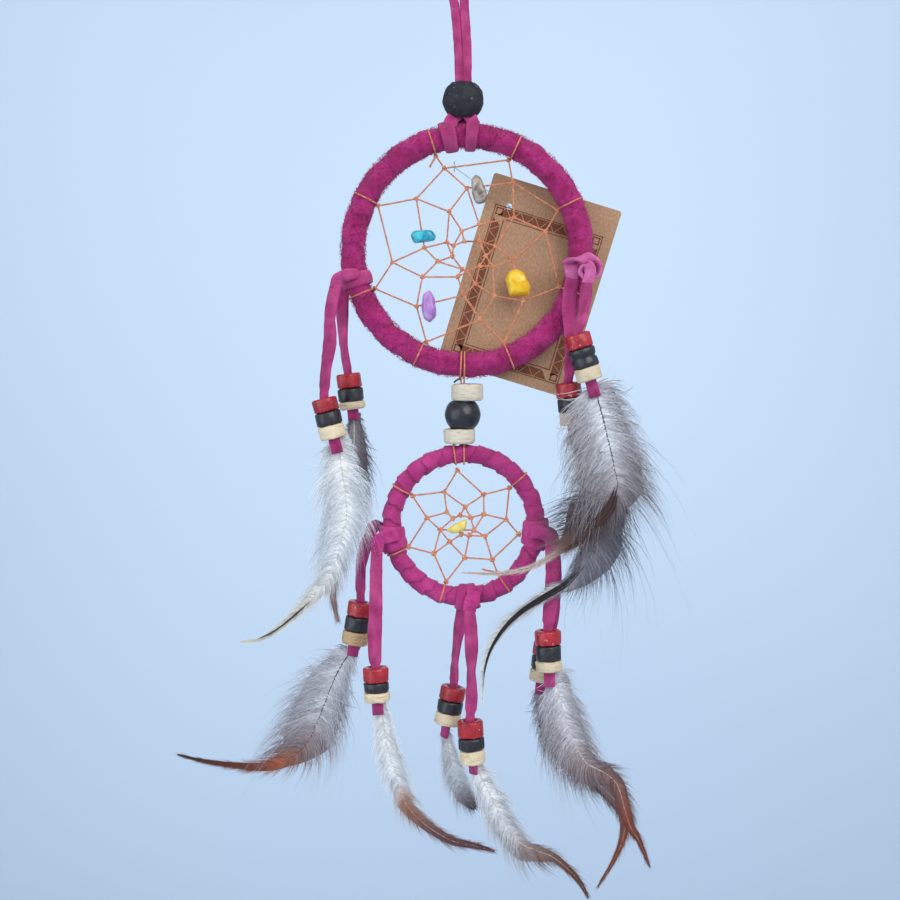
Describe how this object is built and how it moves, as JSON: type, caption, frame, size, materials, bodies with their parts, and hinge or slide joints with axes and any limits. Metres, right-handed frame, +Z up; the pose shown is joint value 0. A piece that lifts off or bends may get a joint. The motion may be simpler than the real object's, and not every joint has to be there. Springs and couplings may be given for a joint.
{
  "type": "dream catcher",
  "caption": "Hanging dream catcher: a large and a small suede-wrapped hoop with knotted thread webs, stones, beaded suede tails with feathers, and a card tag.",
  "frame": {"origin": "inside top of the hanging loop, where a hook or nail carries it", "axes": "+Z up, +X to the right seen from the front, +Y to the back, away from the viewer"},
  "size_m": [0.1739, 0.0287, 0.3451],
  "materials": {
    "suede_lace": "soft suede",
    "suede_wrap": "napped suede",
    "cane": "plain",
    "waxed_thread": "waxed two-ply",
    "tail_beads": "painted and plain",
    "feather": "downy",
    "black_wood": "painted",
    "pale_wood": "plain, sawn",
    "kraft_card": "uncoated",
    "clear_plastic": "translucent",
    "stone_grey": "tumbled",
    "stone_turquoise": "polished",
    "stone_yellow": "polished",
    "stone_lilac": "polished",
    "stone_cream": "polished"
  },
  "bodies": {
    "hanger": {"hanger_lace": "suede_lace"},
    "hitch": {"hanger_bead": "black_wood", "hanger_knot": "suede_lace"},
    "upper_hoop": {"upper_hoop_core": "cane", "upper_hoop_wrap": "suede_wrap", "upper_web": "waxed_thread", "stone_grey": "stone_grey", "stone_turquoise": "stone_turquoise", "stone_yellow": "stone_yellow", "stone_lilac": "stone_lilac", "knot_upper_left": "suede_lace", "knot_upper_right": "suede_lace"},
    "tag": {"tag_card": "kraft_card", "tag_pin": "clear_plastic"},
    "link": {"link_thread": "waxed_thread", "link_disc_top": "pale_wood", "link_bead_black": "black_wood", "link_disc_bottom": "pale_wood"},
    "lower_hoop": {"lower_hoop_core": "cane", "lower_hoop_wrap": "suede_wrap", "lower_web": "waxed_thread", "stone_cream": "stone_cream", "knot_lower_left": "suede_lace", "knot_lower_bottom": "suede_lace", "knot_lower_right": "suede_lace"},
    "tail_upper_left_back": {"lace_upper_left_back": "suede_lace", "beads_upper_left_back": "tail_beads", "feather_upper_left_back": "feather"},
    "tail_upper_left_front": {"lace_upper_left_front": "suede_lace", "beads_upper_left_front": "tail_beads", "feather_upper_left_front": "feather"},
    "tail_upper_right_front": {"lace_upper_right_front": "suede_lace", "beads_upper_right_front": "tail_beads", "feather_upper_right_front": "feather"},
    "tail_upper_right_back": {"lace_upper_right_back": "suede_lace", "beads_upper_right_back": "tail_beads", "feather_upper_right_back": "feather"},
    "tail_lower_left_back": {"lace_lower_left_back": "suede_lace", "beads_lower_left_back": "tail_beads", "feather_lower_left_back": "feather"},
    "tail_lower_left_front": {"lace_lower_left_front": "suede_lace", "beads_lower_left_front": "tail_beads", "feather_lower_left_front": "feather"},
    "tail_bottom_back": {"lace_bottom_back": "suede_lace", "beads_bottom_back": "tail_beads", "feather_bottom_back": "feather"},
    "tail_bottom_front": {"lace_bottom_front": "suede_lace", "beads_bottom_front": "tail_beads", "feather_bottom_front": "feather"},
    "tail_lower_right_front": {"lace_lower_right_front": "suede_lace", "beads_lower_right_front": "tail_beads", "feather_lower_right_front": "feather"},
    "tail_lower_right_back": {"lace_lower_right_back": "suede_lace", "beads_lower_right_back": "tail_beads", "feather_lower_right_back": "feather"}
  },
  "joints": [
    {"name": "hanger_twist", "type": "hinge", "parent": "hanger", "child": "hitch", "pos_m": [0.0029, 0, -0.055], "axis": [0, 0, 1], "range_deg": [-90, 90]},
    {"name": "upper_tilt", "type": "hinge", "parent": "hitch", "child": "upper_hoop", "pos_m": [0.0043, 0, -0.06735], "axis": [1, 0, 0], "range_deg": [-15, 15]},
    {"name": "tag_swing", "type": "hinge", "parent": "upper_hoop", "child": "tag", "pos_m": [-0.0002, 0, -0.0782], "axis": [1, 0, 0], "range_deg": [0, 40]},
    {"name": "link_tilt", "type": "hinge", "parent": "upper_hoop", "child": "link", "pos_m": [0.0028, 0, -0.14865], "axis": [1, 0, 0], "range_deg": [0, 20]},
    {"name": "lower_tilt", "type": "hinge", "parent": "link", "child": "lower_hoop", "pos_m": [0.0016, 0, -0.1804], "axis": [1, 0, 0], "range_deg": [0, 20]},
    {"name": "upper_left_back_swing", "type": "hinge", "parent": "upper_hoop", "child": "tail_upper_left_back", "pos_m": [-0.0408, 0.00665, -0.1205], "axis": [1, 0, 0], "range_deg": [0, 60]},
    {"name": "upper_left_front_swing", "type": "hinge", "parent": "upper_hoop", "child": "tail_upper_left_front", "pos_m": [-0.0421, -0.00665, -0.1205], "axis": [-1, 0, 0], "range_deg": [0, 60]},
    {"name": "upper_right_front_swing", "type": "hinge", "parent": "upper_hoop", "child": "tail_upper_right_front", "pos_m": [0.0461, -0.0128, -0.1195], "axis": [-1, 0, 0], "range_deg": [0, 60]},
    {"name": "upper_right_back_swing", "type": "hinge", "parent": "upper_hoop", "child": "tail_upper_right_back", "pos_m": [0.0419, -0.0061, -0.1177], "axis": [0, 1, 0], "range_deg": [-5, 5]},
    {"name": "lower_left_back_swing", "type": "hinge", "parent": "lower_hoop", "child": "tail_lower_left_back", "pos_m": [-0.0309, 0.0057, -0.2106], "axis": [1, 0, 0], "range_deg": [0, 60]},
    {"name": "lower_left_front_swing", "type": "hinge", "parent": "lower_hoop", "child": "tail_lower_left_front", "pos_m": [-0.0279, -0.0057, -0.2136], "axis": [-1, 0, 0], "range_deg": [0, 60]},
    {"name": "bottom_back_swing", "type": "hinge", "parent": "lower_hoop", "child": "tail_bottom_back", "pos_m": [0.0031, 0.0057, -0.2363], "axis": [1, 0, 0], "range_deg": [0, 60]},
    {"name": "bottom_front_swing", "type": "hinge", "parent": "lower_hoop", "child": "tail_bottom_front", "pos_m": [0.0052, -0.0057, -0.2363], "axis": [-1, 0, 0], "range_deg": [0, 60]},
    {"name": "lower_right_front_swing", "type": "hinge", "parent": "lower_hoop", "child": "tail_lower_right_front", "pos_m": [0.0349, -0.0057, -0.214], "axis": [-1, 0, 0], "range_deg": [0, 8]},
    {"name": "lower_right_back_swing", "type": "hinge", "parent": "lower_hoop", "child": "tail_lower_right_back", "pos_m": [0.0357, 0.0057, -0.214], "axis": [1, 0, 0], "range_deg": [0, 60]}
  ]
}
